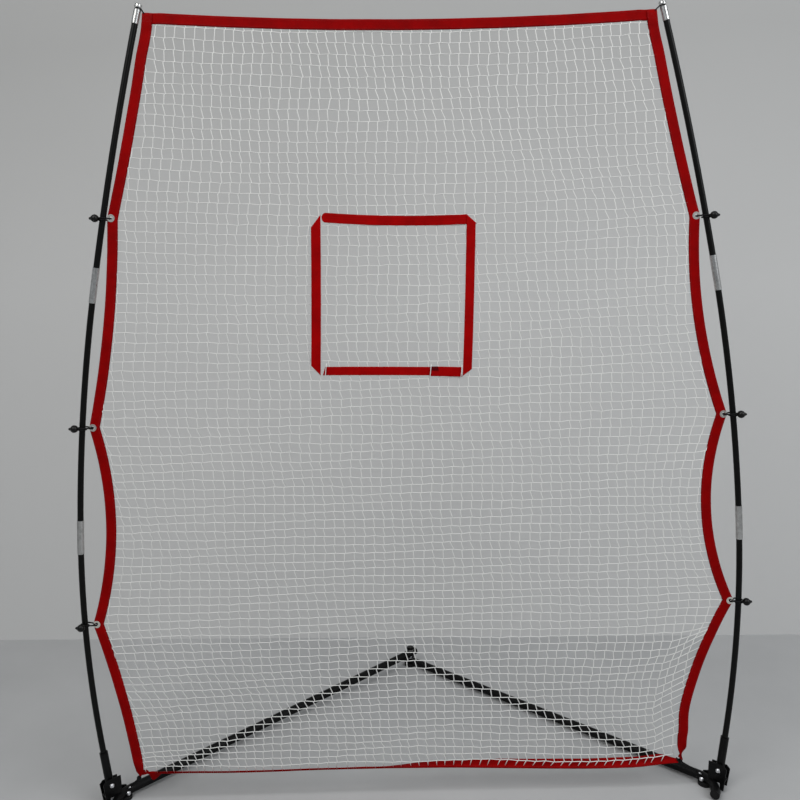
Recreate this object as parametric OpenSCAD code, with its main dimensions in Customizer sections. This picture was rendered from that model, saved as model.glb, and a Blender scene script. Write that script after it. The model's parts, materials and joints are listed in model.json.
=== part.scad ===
// Free-standing pitching target net: two bowed poles on a folding V base hold a
// square-mesh net with a webbing border and a square webbing strike zone.
// X runs across the net, the thrower stands on the -Y side, and Z = 0 is the ground.

/* [Base] */
// Distance from the pole plane back to the hinge of the V base
base_depth = 725; // [650:5:800]
// Half the distance between the two points where the poles meet the legs
base_half_width = 854; // [820:2:880]
// Outer diameter of the leg tube
leg_d = 25.4; // [22:0.2:28]
// Wall thickness of the leg tube
leg_wall = 1.6; // [1.2:0.1:2.5]
// Radius of the bend at the front end of each leg
leg_bend_r = 64; // [55:1:65]
// Angle of that bend
leg_bend = 85; // [70:1:88]
// Thickness of rubber under the legs
pad_t = 4; // [4:0.5:8]

/* [Poles] */
// Diameter of the fibreglass pole
pole_d = 15.9; // [14:0.1:18]
// Bore of the pole
pole_bore = 9; // [6:0.5:11]
// Outward lean of the poles where they leave the sockets
pole_lean = 7.4; // [6:0.1:9]
// Half the distance between the poles at the top of the sockets
socket_top_x = 867; // [850:1:880]
// Height of the top of the sockets
socket_top_z = 152; // [140:1:165]
// Outer diameter of the socket tube
socket_d = 22.2; // [20:0.2:24]
// Arc length of the lower pole piece above its socket
lower_run = 620; // [600:5:640]
// Arc length of the middle pole piece
middle_run = 682; // [660:2:700]
// Arc length of the left upper pole piece with its cap
upper_run = 724; // [700:1:735]
// How much further the right upper piece is pushed down into its ferrule
right_push = 17; // [0:1:20]
// Bend radius of the lower pole piece
lower_r = 3500; // [3300:50:3800]
// Bend radius of the middle pole piece
middle_r = 5200; // [5000:50:5500]
// Bend radius of the upper pole piece
upper_r = 10000; // [9000:100:12000]
// Outer diameter of the aluminium ferrules and end caps
ferrule_d = 18.2; // [17.6:0.1:20]
// Length of each ferrule
ferrule_len = 93; // [80:1:100]

/* [Net] */
// Width of the border webbing
border_w = 27; // [24:0.5:30]
// Thickness that the webbing and the mesh are drawn at
border_t = 3; // [2:0.5:4]
// Dip of the top border at mid span
top_sag = 22; // [10:1:35]
// Height of the lower edge of the bottom border
bottom_z = 66; // [60:1:75]
// Outer side of the square strike zone
target_side = 432; // [400:1:440]
// Width of the strike-zone strap
target_w = 25.4; // [22:0.2:28]
// Height of the middle of the strike zone
target_z = 1403; // [1380:1:1420]
// Sideways place of the middle of the strike zone
target_x = -33; // [-50:1:0]
// Clockwise turn of the strike zone, seen from the front
target_turn = 1.7; // [-3:0.1:3]

/* [Fittings] */
// Diameter of the elastic cord
bungee_d = 4; // [3:0.2:4.4]
// Diameter of the bungee balls
ball_d = 20.5; // [18:0.5:23]
// Outer diameter of the grommets
grommet_d = 20; // [18:0.5:22]
// Clear hole of the grommets
grommet_bore = 10; // [8:0.5:11]
// Diameter of the hinge bolt
bolt_d = 10; // [8:0.5:10]
// Diameter of the hinge knob
knob_d = 26; // [24:0.5:32]

/* [Hidden] */
$fn = 48;
LEFT = -1;
RIGHT = 1;
clear = 0.2;
deg_per_rad = 180 / PI;
// Facets of a full turn that keep a shallow pole arc within 0.02 mm of true
pole_turn_fn = 2880;

// Fore and aft: the origin lies under the middle of the whole object
front_reach = 60;
rear_reach = base_depth + 26;
pole_y = (front_reach - rear_reach) / 2;
hinge_y = pole_y + base_depth;

// Legs
bend_start = 56;
leg_line = sqrt(pow(base_half_width, 2) + pow(base_depth, 2));
leg_angle = atan2(-base_depth, base_half_width);
leg_straight = round(leg_line) - bend_start;
leg_past_hinge = 22;
leg_z = pad_t + leg_d / 2;
spacer_t = 1.5;
// The left leg crosses over the right one and runs down to its foot at a slight tilt
tilt_room = 0.6;
left_rise = leg_d + spacer_t + tilt_room;
left_tilt = atan(left_rise / leg_straight);
plug_t = 3;
plug_stem = 6;
plug_play = 0.5;

// Pole arcs, as tilts from vertical and arc centres in the X-Z plane
tilt0 = pole_lean;
tilt1 = tilt0 - lower_run / lower_r * deg_per_rad;
tilt2 = tilt1 - middle_run / middle_r * deg_per_rad;
function toward_centre(tilt, r) = r * [-cos(tilt), sin(tilt)];
start0 = [socket_top_x, socket_top_z];
centre1 = start0 + toward_centre(tilt0, lower_r);
start1 = centre1 - toward_centre(tilt1, lower_r);
centre2 = start1 + toward_centre(tilt1, middle_r);
start2 = centre2 - toward_centre(tilt2, middle_r);
centre3 = start2 + toward_centre(tilt2, upper_r);
function upper_length(side) = upper_run - (side == RIGHT ? right_push : 0);
function top_tilt(side) = tilt2 - upper_length(side) / upper_r * deg_per_rad;
function pole_top(side) = centre3 - toward_centre(top_tilt(side), upper_r);
function arc_x(c, r, z) = c.x + sqrt(r * r - pow(z - c.y, 2));
function pole_x(z) =
    z < start1.y ? arc_x(centre1, lower_r, z)
    : z < start2.y ? arc_x(centre2, middle_r, z)
    : arc_x(centre3, upper_r, z);
joint_gap = 0.5;
socket_len = 116.5;
// Bore of everything that slides over a pole
sleeve_bore = pole_d + 2 * clear;
stub_len = 78;
cap_tube = 36;
cap_neck = 4;
cap_head = 10;
cap_len = cap_tube + cap_neck + cap_head;
cap_neck_d = 11;
cap_seat = 16;

// Foot brackets, in a frame with X along the leg and Y to the outside and rear
cheek_t = 3;
cheek_gap = 26.4;
cheek_back = -25;
cheek_front = 24;
cheek_top = 80;
rear_cheek_top = 68;
cheek_lean = 8;
cheek_cut = 9;
web_z = leg_z + leg_d / 2 + 0.1;
ear_back = -50;
socket_bolt_z = 60;
leg_bolt_at = -44;
bracket_bolt_d = 6;
hex_d = 11.5;
hex_t = 4.5;
dome_d = 13;
dome_t = 3.6;
eye_at = -50;
// Turn of the eye about the leg, from upright to the front
eye_turn = 45;
eye_r = 5.5;
eye_wire = 3;
eye_reach = leg_d / 2 + eye_r + 0.6;
eye_point = [
    base_half_width + eye_at * cos(leg_angle) + eye_reach * sin(eye_turn) * sin(leg_angle),
    eye_at * sin(leg_angle) - eye_reach * sin(eye_turn) * cos(leg_angle),
    leg_z + eye_reach * cos(eye_turn)
];
tie_gap = 10;
cheek_out = cheek_gap / 2 + cheek_t;
// The leg bolt's head stands just clear of the bend of the tube
leg_bolt_front = 17;
function cheek_head(top) = [
    [cheek_front, top - cheek_cut], [cheek_front - cheek_cut, top], [cheek_back, top]
];
rear_cheek = concat(
    [[ear_back - cheek_lean, pad_t + 2], [cheek_front - cheek_lean, pad_t + 2]],
    cheek_head(rear_cheek_top),
    [[cheek_back - 3, web_z + 4], [ear_back, web_z - 4]]
);
front_cheek = concat(
    [[cheek_back - 2, web_z], [6, web_z], [7, pad_t + 2], [cheek_front - cheek_lean, pad_t + 2]],
    cheek_head(cheek_top)
);

// Net outline: X and Z of the corners and grommets on each side, and the dip between them
left_knots = [[653, 2135], [771, 1621], [851, 1070], [873, 524], [781, 77]];
right_knots = [[652, 2120], [771, 1597], [853, 1070], [882, 550], [746, 90]];
left_sags = [5, 14, 40, 10];
right_sags = [6, 26, 52, 28];
scallop_steps = 8;
grommet_inset = 10;
top_steps = 12;
net_gap = 1;
swing_gap = 4;
// The strike-zone straps lie on the front of the mesh
strap_t = 2;
strap_gap = 0.3;
strap_y = -border_t / 2 - strap_gap - strap_t;
tab_at = 98;
tab_w = 24;
function scallop(a, b, sag, u) = a + (b - a) * u - [4 * sag * u * (1 - u), 0];
function side_edge(knots, sags, inset) = [
    for (i = [0 : len(sags) - 1])
        for (k = [0 : scallop_steps - (i < len(sags) - 1 ? 1 : 0)])
            scallop(knots[i], knots[i + 1], sags[i], k / scallop_steps) - [inset, 0]
];
function reversed(list) = [for (i = [len(list) - 1 : -1 : 0]) list[i]];
function edge_x(knots, sags, z) =
    let (i = z > knots[1].y ? 0 : z > knots[2].y ? 1 : z > knots[3].y ? 2 : 3)
    scallop(knots[i], knots[i + 1], sags[i], (knots[i].y - z) / (knots[i].y - knots[i + 1].y)).x;
function top_edge(x) =
    left_knots[0].y + (right_knots[0].y - left_knots[0].y) * (x / left_knots[0].x + 1) / 2
    - top_sag * (1 - pow(x / left_knots[0].x, 2));
function across(x_low, x_high, drop) = [
    for (i = [0 : top_steps])
        let (x = x_low + (x_high - x_low) * i / top_steps) [x, top_edge(x) - drop]
];
grommet_flange = 0.8;
barrel_d = 14;
half_loop = pole_d / 2 + bungee_d / 2 + clear;
// Sideways and forward places of the balls from the pole, from top to bottom on each side
left_ball_at = [[17, 12], [17, 12], [3, 21.5]];
right_ball_at = [[17, 12], [17, 12], [17, 12]];
ball_cone_d = 18.5;
ball_cone_h = 14.5;
ball_tip_d = 5;

// Hinge stack
right_top_z = leg_z + leg_d / 2;
left_top_z = right_top_z + left_rise + tilt_room;
hinge_washer_t = 1.5;
spacer_d = 30;
washer_d = 24;
knob_z = left_top_z + hinge_washer_t + clear;
knob_h = 9;
bolt_head_d = 20;
bolt_head_t = 3.2;
bore_d = bolt_d + 0.5;
pad_d = 44;
pad_h = 9;

module at_poles() translate([0, pole_y, 0]) children();

module on_side(side) if (side == LEFT) mirror([1, 0, 0]) children(); else children();

module ring(outer_d, inner_d) difference() {
    circle(d = outer_d, $fn = 48);
    circle(d = inner_d, $fn = 48);
}

// Turns its children, a flat profile, into curved tube that starts along +Z and bends towards -X
module up_arc(r, length)
    translate([-r, 0, 0])
        rotate([90, 0, 0])
            rotate_extrude(angle = length / r * deg_per_rad, $fn = pole_turn_fn)
                translate([r, 0])
                    children();

// Moves children, drawn along +Z, to a pole point with that tilt
module along_pole(point, tilt) translate([point.x, 0, point.y]) rotate([0, tilt, 0]) children();

// Legs
module leg_frame(side)
    on_side(side)
        translate([0, hinge_y, leg_z + (side == LEFT ? left_rise : 0)])
            rotate([0, 0, leg_angle])
                rotate([0, side == LEFT ? left_tilt : 0, 0])
                    children();

// Runs its children, a flat profile, along a leg: straight, then round the bend
module leg_path(side) leg_frame(side) {
    translate([-leg_past_hinge, 0, 0])
        rotate([0, 90, 0])
            linear_extrude(leg_past_hinge + leg_straight)
                children();
    translate([leg_straight, -leg_bend_r, 0])
        rotate([0, 0, 90])
            mirror([0, 1, 0])
                rotate_extrude(angle = leg_bend, $fn = 96)
                    translate([leg_bend_r, 0])
                        children();
}

module hinge_hole(d) translate([0, hinge_y, -1]) cylinder(d = d, h = 120);

module leg(side) color("#17181a") difference() {
    leg_path(side) ring(leg_d, leg_d - 2 * leg_wall);
    hinge_hole(bore_d);
    leg_bolt_hole(side);
    eye_hole(side);
}

module plug() {
    cylinder(d = leg_d, h = plug_t);
    translate([0, 0, -plug_stem])
        cylinder(d = leg_d - 2 * leg_wall - 2 * plug_play, h = plug_stem + 1);
}

module leg_plugs(side) color("#101010") leg_frame(side) {
    translate([-leg_past_hinge, 0, 0])
        rotate([0, -90, 0])
            difference() {
                plug();
                translate([0, 0, -leg_past_hinge])
                    rotate([0, 90, 0])
                        cylinder(d = bore_d + 1, h = leg_d * 2, center = true);
            }
    translate([leg_straight, -leg_bend_r, 0])
        rotate([0, 0, 90 - leg_bend])
            translate([leg_bend_r, 0, 0])
                rotate([90, 0, 0])
                    plug();
}

// Foot brackets
module bracket_frame(side)
    on_side(side)
        at_poles()
            translate([base_half_width, 0, 0])
                rotate([0, 0, leg_angle])
                    children();

module cheek(inner_y, outline)
    translate([0, inner_y, 0])
        rotate([90, 0, 0])
            translate([0, 0, -cheek_t])
                linear_extrude(cheek_t)
                    polygon(outline);

module across_cheeks(at, z) translate([at, 0, z]) rotate([90, 0, 0]) children();

module leg_bolt_hole(side)
    bracket_frame(side)
        across_cheeks(leg_bolt_at, leg_z)
            cylinder(d = bracket_bolt_d + clear, h = 90, center = true);

module foot_bracket(side) color("#1a1b1d") difference() {
    bracket_frame(side) {
        cheek(cheek_gap / 2, rear_cheek);
        cheek(-cheek_gap / 2 - cheek_t, front_cheek);
        translate([cheek_back - 2, -cheek_gap / 2 - 1, web_z])
            cube([cheek_front - cheek_back - 4, cheek_gap + 2, cheek_t]);
    }
    leg_bolt_hole(side);
    bracket_frame(side)
        across_cheeks(0, socket_bolt_z)
            cylinder(d = bracket_bolt_d + clear, h = 90, center = true);
}

// A bolt along +Z with its domed head above Z = 0
module bolt(length) {
    translate([0, 0, -length])
        cylinder(d = bracket_bolt_d, h = length + 1);
    cylinder(d1 = dome_d, d2 = dome_d - 1, h = 1);
    translate([0, 0, 1])
        cylinder(d1 = dome_d - 1, d2 = dome_d - 6, h = dome_t - 1);
}

module bracket_bolts(side) color("#c9ccd0") bracket_frame(side) {
    across_cheeks(0, socket_bolt_z)
        translate([0, 0, cheek_out])
            bolt(2 * cheek_out + hex_t + 2);
    across_cheeks(leg_bolt_at, leg_z)
        translate([0, 0, leg_bolt_front])
            bolt(leg_bolt_front + cheek_out + hex_t + 2);
}

module nut() difference() {
    cylinder(d = hex_d, h = hex_t, $fn = 6);
    translate([0, 0, -1])
        cylinder(d = bracket_bolt_d + clear, h = hex_t + 2);
}

module bracket_nuts(side) color("#b9bcc0") bracket_frame(side)
    for (p = [[0, socket_bolt_z], [leg_bolt_at, leg_z]])
        across_cheeks(p.x, p.y)
            translate([0, 0, -cheek_out - hex_t])
                nut();

module foot_pad(side) color("#0d0d0d") difference() {
    bracket_frame(side)
        translate([leg_bolt_at + 6, -6, 0])
            cylinder(d = pad_d - 6, h = pad_h);
    leg_path(side) circle(d = leg_d + clear);
    bracket_frame(side)
        translate([ear_back - 10, cheek_gap / 2 - clear, pad_t])
            cube([90, 20, 40]);
}

module socket(side) color("#1a1b1d") difference() {
    on_side(side)
        at_poles()
            along_pole(start0, tilt0)
                translate([0, 0, -socket_len])
                    linear_extrude(socket_len)
                        ring(socket_d, sleeve_bore);
    bracket_frame(side)
        across_cheeks(0, socket_bolt_z)
            cylinder(d = bracket_bolt_d + clear, h = 90, center = true);
}

// Poles
module pole_lower(side) color("#0c0d0c")
    on_side(side)
        at_poles()
            along_pole(start0, tilt0) {
                up_arc(lower_r, lower_run - joint_gap)
                    ring(pole_d, pole_bore);
                translate([0, 0, -stub_len])
                    linear_extrude(stub_len)
                        ring(pole_d, pole_bore);
            }

module pole_middle(side) color("#0c0d0c")
    on_side(side)
        at_poles()
            along_pole(start1, tilt1)
                up_arc(middle_r, middle_run - joint_gap)
                    ring(pole_d, pole_bore);

module pole_upper(side) color("#0c0d0c")
    on_side(side)
        at_poles()
            along_pole(start2, tilt2)
                up_arc(upper_r, upper_length(side) - cap_len + cap_seat)
                    ring(pole_d, pole_bore);

// A sleeve over the joint at a pole point, half below it and half above
module ferrule(side, point, tilt, low_r, high_r) color("#c4c6c8")
    on_side(side)
        at_poles()
            along_pole(point, tilt) {
                mirror([0, 0, 1])
                    up_arc(low_r, ferrule_len / 2)
                        ring(ferrule_d, sleeve_bore);
                up_arc(high_r, ferrule_len / 2)
                    ring(ferrule_d, sleeve_bore);
            }

module pole_cap(side) color("#c4c6c8") on_side(side) at_poles()
    along_pole(pole_top(side), top_tilt(side))
        translate([0, 0, -cap_len])
            rotate_extrude()
                polygon([
                    [sleeve_bore / 2, 0], [ferrule_d / 2 - 0.4, 0], [ferrule_d / 2, 0.6],
                    [ferrule_d / 2, cap_tube - 1], [ferrule_d / 2 - 1, cap_tube],
                    [cap_neck_d / 2, cap_tube], [cap_neck_d / 2, cap_tube + cap_neck],
                    [ferrule_d / 2, cap_tube + cap_neck], [ferrule_d / 2 + 0.4, cap_len - 7],
                    [ferrule_d / 2 - 0.6, cap_len - 2], [ferrule_d / 2 - 3, cap_len],
                    [0, cap_len], [0, cap_seat + 2], [sleeve_bore / 2, cap_seat + 2]
                ]);

// Net and its border
module upright(thickness) rotate([90, 0, 0]) linear_extrude(thickness, center = true) children();

module side_outline(knots, sags)
    polygon(concat(side_edge(knots, sags, 0), reversed(side_edge(knots, sags, border_w))));

module grommet_places(knots)
    for (i = [1 : 3])
        translate([knots[i].x - grommet_inset, 0, knots[i].y])
            children();

module side_border(side, knots, sags) color("#8c070a") on_side(side) at_poles() difference() {
    upright(border_t) side_outline(knots, sags);
    grommet_places(knots)
        rotate([90, 0, 0])
            cylinder(d = barrel_d + clear, h = 20, center = true);
}

module grommet() rotate([90, 0, 0]) difference() {
    union() {
        cylinder(d = barrel_d, h = border_t, center = true);
        for (z = [border_t / 2, -border_t / 2 - grommet_flange])
            translate([0, 0, z])
                cylinder(d = grommet_d, h = grommet_flange);
    }
    cylinder(d = grommet_bore, h = 20, center = true);
}

module grommets(side, knots) color("#d5d6d4") on_side(side) at_poles() grommet_places(knots) grommet();

module ball_place(z, at) translate([pole_x(z) + at.x, -at.y, z]) children();

module bungee_loop(z, inner_x) {
    reach = pole_x(z) - inner_x - half_loop;
    translate([inner_x + half_loop, 0, z]) {
        rotate([0, 0, 90])
            rotate_extrude(angle = 180)
                translate([half_loop, 0])
                    circle(d = bungee_d, $fn = 24);
        for (y = [-half_loop, half_loop])
            translate([0, y, 0])
                rotate([0, 90, 0])
                    cylinder(d = bungee_d, h = reach, $fn = 24);
        translate([reach, 0, 0])
            rotate([0, 0, -90])
                rotate_extrude(angle = 180)
                    translate([half_loop, 0])
                        circle(d = bungee_d, $fn = 24);
    }
}

module bungee_cords(side, knots, balls_at) color("#111111") on_side(side) at_poles()
    for (i = [1 : 3])
        difference() {
            bungee_loop(knots[i].y, knots[i].x - grommet_inset);
            ball_place(knots[i].y, balls_at[i - 1])
                sphere(d = ball_d + clear);
        }

// A round ball with a blunt cone that points away from the net
module ball() rotate([0, 90, 0]) {
    sphere(d = ball_d);
    cylinder(d1 = ball_cone_d, d2 = ball_tip_d, h = ball_cone_h);
}

module bungee_balls(side, knots, balls_at) color("#141414") on_side(side) at_poles()
    for (i = [1 : 3])
        ball_place(knots[i].y, balls_at[i - 1])
            ball();

module top_loop(side) color("#111111") on_side(side) at_poles()
    along_pole(pole_top(side), top_tilt(side))
        translate([0, 0, -cap_head - cap_neck / 2])
            rotate_extrude()
                translate([cap_neck_d / 2 + 1.9, 0])
                    circle(d = 3.4, $fn = 24);

module eye_frame(side)
    bracket_frame(side)
        translate([eye_at, 0, leg_z])
            rotate([eye_turn, 0, 0])
                children();

module eye_hole(side) eye_frame(side) cylinder(d = eye_wire + clear, h = 40);

module tie_eye(side) color("#cfd1d3") eye_frame(side) {
    translate([0, 0, eye_reach])
        rotate([90, 0, 0])
            rotate_extrude()
                translate([eye_r - 1, 0])
                    circle(d = eye_wire, $fn = 24);
    translate([0, 0, leg_d / 2 - 5])
        cylinder(d = eye_wire, h = 7);
}

// A straight cord between two points
module strand(from, to, d) {
    v = to - from;
    translate(from)
        rotate([0, acos(v.z / norm(v)), atan2(v.y, v.x)])
            cylinder(d = d, h = norm(v), $fn = 24);
}

module corner_tie(side, knots) color("#101010") on_side(side) at_poles() {
    corner = [knots[4].x - 2, -border_t / 2 - bungee_d / 2 - clear, knots[4].y - 4];
    run = eye_point - corner;
    strand(corner, corner + run * (1 - tie_gap / norm(run)), bungee_d);
}

module top_border() color("#8c070a") at_poles() {
    x_low = border_w + net_gap - edge_x(left_knots, left_sags, left_knots[0].y);
    x_high = edge_x(right_knots, right_sags, right_knots[0].y) - border_w - swing_gap;
    upright(border_t)
        polygon(concat(across(x_low, x_high, 0), reversed(across(x_low, x_high, border_w))));
}

module bottom_border() color("#8c070a") at_poles() {
    x_low = border_w + net_gap - edge_x(left_knots, left_sags, left_knots[4].y);
    x_high = edge_x(right_knots, right_sags, right_knots[4].y) - border_w - swing_gap;
    translate([x_low, -border_t / 2, bottom_z])
        cube([x_high - x_low, border_t, border_w]);
}

module net_mesh() color("#e9e9e6") at_poles() {
    low_z = bottom_z + border_w + net_gap;
    drop = border_w + net_gap;
    high_z = top_edge(0) - drop;
    corner_z = left_knots[0].y - drop;
    left_in = [
        for (p = side_edge(left_knots, left_sags, border_w + net_gap))
            if (p.y > low_z + 8 && p.y < high_z - 20) [-p.x, p.y]
    ];
    right_in = [
        for (p = side_edge(right_knots, right_sags, border_w + swing_gap))
            if (p.y > low_z + 8 && p.y < high_z - 20) p
    ];
    x_top_left = border_w + net_gap - edge_x(left_knots, left_sags, corner_z);
    x_top_right = edge_x(right_knots, right_sags, corner_z) - border_w - swing_gap;
    x_low_left = border_w + net_gap - edge_x(left_knots, left_sags, low_z);
    x_low_right = edge_x(right_knots, right_sags, low_z) - border_w - swing_gap;
    upright(border_t)
        polygon(concat(across(x_top_left, x_top_right, drop), right_in,
            [[x_low_right, low_z], [x_low_left, low_z]], reversed(left_in)));
}

// Strike zone: four straps that lie on the front of the mesh with mitred ends
module target_frame(turn_angle)
    at_poles()
        translate([target_x, strap_y + strap_t / 2, target_z])
            rotate([0, turn_angle + target_turn, 0])
                upright(strap_t)
                    polygon([
                        [-target_side / 2 + 0.3, target_side / 2],
                        [target_side / 2 - 0.3, target_side / 2],
                        [target_side / 2 - target_w - 0.3, target_side / 2 - target_w],
                        [-target_side / 2 + target_w + 0.3, target_side / 2 - target_w]
                    ]);

module target_strap(turn_angle) color("#95090b") target_frame(turn_angle);

module target_tab() color("#5c0406") at_poles()
    translate([target_x, strap_y - strap_gap - strap_t, target_z])
        rotate([0, target_turn, 0])
            translate([tab_at, 0, 1 - target_side / 2])
                cube([tab_w, strap_t, target_w - 2]);

// Hinge
module hinge_bolt() color("#8f9296") translate([0, hinge_y, pad_t - 0.2]) {
    translate([0, 0, -bolt_head_t])
        cylinder(d = bolt_head_d, h = bolt_head_t);
    cylinder(d = bolt_d, h = knob_z + knob_h - 3 - pad_t);
}

module flat_ring(outer_d, inner_d, height) linear_extrude(height) ring(outer_d, inner_d);

module hinge_spacer() color("#6d7074")
    translate([0, hinge_y, right_top_z])
        flat_ring(spacer_d, bore_d, spacer_t);

module hinge_washer() color("#b9bcc0")
    translate([0, hinge_y, left_top_z])
        flat_ring(washer_d, bore_d, hinge_washer_t);

module hinge_knob() color("#141414") translate([0, hinge_y, knob_z]) difference() {
    union() {
        cylinder(d = knob_d - 6, h = knob_h);
        translate([0, 0, 2])
            cylinder(d = knob_d, h = knob_h - 4);
    }
    translate([0, 0, -1])
        cylinder(d = bore_d, h = knob_h - 0.8);
    for (a = [0 : 60 : 300])
        rotate([0, 0, a])
            translate([knob_d / 2 + 2.5, 0, -1])
                cylinder(d = 9, h = knob_h + 2);
}

module hinge_pad() color("#0d0d0d") difference() {
    translate([0, hinge_y, 0])
        cylinder(d = pad_d, h = pad_h);
    leg_frame(RIGHT)
        rotate([0, 90, 0])
            cylinder(d = leg_d + clear, h = 2 * pad_d, center = true);
    translate([0, hinge_y, -1])
        cylinder(d = bolt_head_d + 2, h = pad_h + 2);
}

leg(LEFT);  // left_leg
leg_plugs(LEFT);  // left_leg_plugs
foot_bracket(LEFT);  // left_foot_bracket
bracket_bolts(LEFT);  // left_bracket_bolts
bracket_nuts(LEFT);  // left_bracket_nuts
foot_pad(LEFT);  // left_foot_pad
socket(LEFT);  // left_socket
pole_lower(LEFT);  // left_pole_lower
pole_middle(LEFT);  // left_pole_middle
pole_upper(LEFT);  // left_pole_upper
ferrule(LEFT, start1, tilt1, lower_r, middle_r);  // left_ferrule_lower
ferrule(LEFT, start2, tilt2, middle_r, upper_r);  // left_ferrule_upper
pole_cap(LEFT);  // left_pole_cap
side_border(LEFT, left_knots, left_sags);  // left_border
grommets(LEFT, left_knots);  // left_grommets
bungee_cords(LEFT, left_knots, left_ball_at);  // left_bungee_cords
bungee_balls(LEFT, left_knots, left_ball_at);  // left_bungee_balls
top_loop(LEFT);  // left_top_loop
corner_tie(LEFT, left_knots);  // left_corner_tie
tie_eye(LEFT);  // left_tie_eye
leg(RIGHT);  // right_leg
leg_plugs(RIGHT);  // right_leg_plugs
foot_bracket(RIGHT);  // right_foot_bracket
bracket_bolts(RIGHT);  // right_bracket_bolts
bracket_nuts(RIGHT);  // right_bracket_nuts
foot_pad(RIGHT);  // right_foot_pad
socket(RIGHT);  // right_socket
pole_lower(RIGHT);  // right_pole_lower
pole_middle(RIGHT);  // right_pole_middle
pole_upper(RIGHT);  // right_pole_upper
ferrule(RIGHT, start1, tilt1, lower_r, middle_r);  // right_ferrule_lower
ferrule(RIGHT, start2, tilt2, middle_r, upper_r);  // right_ferrule_upper
pole_cap(RIGHT);  // right_pole_cap
side_border(RIGHT, right_knots, right_sags);  // right_border
grommets(RIGHT, right_knots);  // right_grommets
bungee_cords(RIGHT, right_knots, right_ball_at);  // right_bungee_cords
bungee_balls(RIGHT, right_knots, right_ball_at);  // right_bungee_balls
top_loop(RIGHT);  // right_top_loop
corner_tie(RIGHT, right_knots);  // right_corner_tie
tie_eye(RIGHT);  // right_tie_eye
hinge_bolt();
hinge_spacer();
hinge_washer();
hinge_knob();
hinge_pad();
top_border();
bottom_border();
net_mesh();
target_strap(0);  // target_strap_top
target_strap(180);  // target_strap_bottom
target_strap(-90);  // target_strap_left
target_strap(90);  // target_strap_right
target_tab();
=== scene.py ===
import json
import math

import bpy
import numpy as np
from mathutils import Matrix, Vector


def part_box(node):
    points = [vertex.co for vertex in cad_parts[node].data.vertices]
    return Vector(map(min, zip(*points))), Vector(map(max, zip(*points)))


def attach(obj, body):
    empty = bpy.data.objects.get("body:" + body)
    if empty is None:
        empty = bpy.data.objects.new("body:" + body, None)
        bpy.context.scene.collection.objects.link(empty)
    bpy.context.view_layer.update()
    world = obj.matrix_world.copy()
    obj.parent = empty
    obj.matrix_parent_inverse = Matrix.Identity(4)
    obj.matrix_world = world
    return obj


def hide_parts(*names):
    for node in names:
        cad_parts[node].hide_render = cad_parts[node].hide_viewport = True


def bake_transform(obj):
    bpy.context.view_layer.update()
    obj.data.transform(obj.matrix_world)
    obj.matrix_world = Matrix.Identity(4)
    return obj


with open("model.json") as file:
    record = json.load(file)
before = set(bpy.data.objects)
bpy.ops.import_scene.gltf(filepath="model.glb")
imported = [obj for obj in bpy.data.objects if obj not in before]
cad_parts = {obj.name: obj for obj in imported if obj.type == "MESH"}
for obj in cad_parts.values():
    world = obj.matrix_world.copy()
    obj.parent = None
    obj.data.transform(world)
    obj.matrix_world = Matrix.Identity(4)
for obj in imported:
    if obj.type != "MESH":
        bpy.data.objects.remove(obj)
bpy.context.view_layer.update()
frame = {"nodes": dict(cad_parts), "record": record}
LEFT, RIGHT = -1, 1
NAMES = {LEFT: "left", RIGHT: "right"}
PLANE_Y = (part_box("net_mesh")[0].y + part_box("net_mesh")[1].y) / 2

# The camera: where it stands (y measured from PLANE_Y), how it is turned, and its lens
CAMERA_AT = (-0.030, -2.080, 1.499)
PITCH, YAW, ROLL = math.radians(5.87), math.radians(0.33), math.radians(-1.2)
LENS, SENSOR, SHIFT_Y = 35.6, 36, -0.074


def mm(*v):
    """Millimetres to metres, as one number or an array."""
    a = np.array(v, float) / 1000
    return float(a[0]) if len(v) == 1 else a


# ---------------------------------------------------------------- camera and stage
def make_camera():
    cam = bpy.data.cameras.new("camera")
    o = bpy.data.objects.new("camera", cam)
    bpy.context.scene.collection.objects.link(o)
    pitch, yaw, roll = PITCH, YAW, ROLL
    fwd = Vector((math.sin(yaw) * math.cos(pitch), math.cos(yaw) * math.cos(pitch), -math.sin(pitch)))
    right = Vector((math.cos(yaw), -math.sin(yaw), 0))
    up = right.cross(fwd)
    r = math.cos(roll) * right + math.sin(roll) * up
    u = -math.sin(roll) * right + math.cos(roll) * up
    rot = Matrix((r, u, -fwd)).transposed()
    at = (CAMERA_AT[0], PLANE_Y + CAMERA_AT[1], CAMERA_AT[2])
    o.matrix_world = Matrix.Translation(at) @ rot.to_4x4()
    cam.lens, cam.sensor_width, cam.shift_y = LENS, SENSOR, SHIFT_Y
    bpy.context.scene.camera = o


def area_light(name, at, aim, size, power, colour=(1, 1, 1)):
    d = bpy.data.lights.new(name, "AREA")
    d.shape, d.size, d.size_y, d.energy, d.color = "RECTANGLE", size[0], size[1], power, colour
    o = bpy.data.objects.new(name, d)
    bpy.context.scene.collection.objects.link(o)
    o.location = at
    o.rotation_euler = (Vector(aim) - Vector(at)).to_track_quat("-Z", "Y").to_euler()


def new_material(name, colour, rough, metal=0.0):
    m = bpy.data.materials.new(name)
    m.use_nodes = True
    m.node_tree.nodes.clear()
    t = m.node_tree
    out = t.nodes.new("ShaderNodeOutputMaterial")
    b = t.nodes.new("ShaderNodeBsdfPrincipled")
    t.links.new(b.outputs[0], out.inputs[0])
    b.inputs["Base Color"].default_value = (*colour, 1)
    b.inputs["Roughness"].default_value = rough
    b.inputs["Metallic"].default_value = metal
    return m, t, b


def noise(t, scale, detail=3.0, rough=0.5, vector=None):
    n = t.nodes.new("ShaderNodeTexNoise")
    n.inputs["Scale"].default_value = scale
    n.inputs["Detail"].default_value = detail
    n.inputs["Roughness"].default_value = rough
    if vector is not None:
        t.links.new(vector, n.inputs["Vector"])
    return n.outputs["Fac"]


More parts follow.
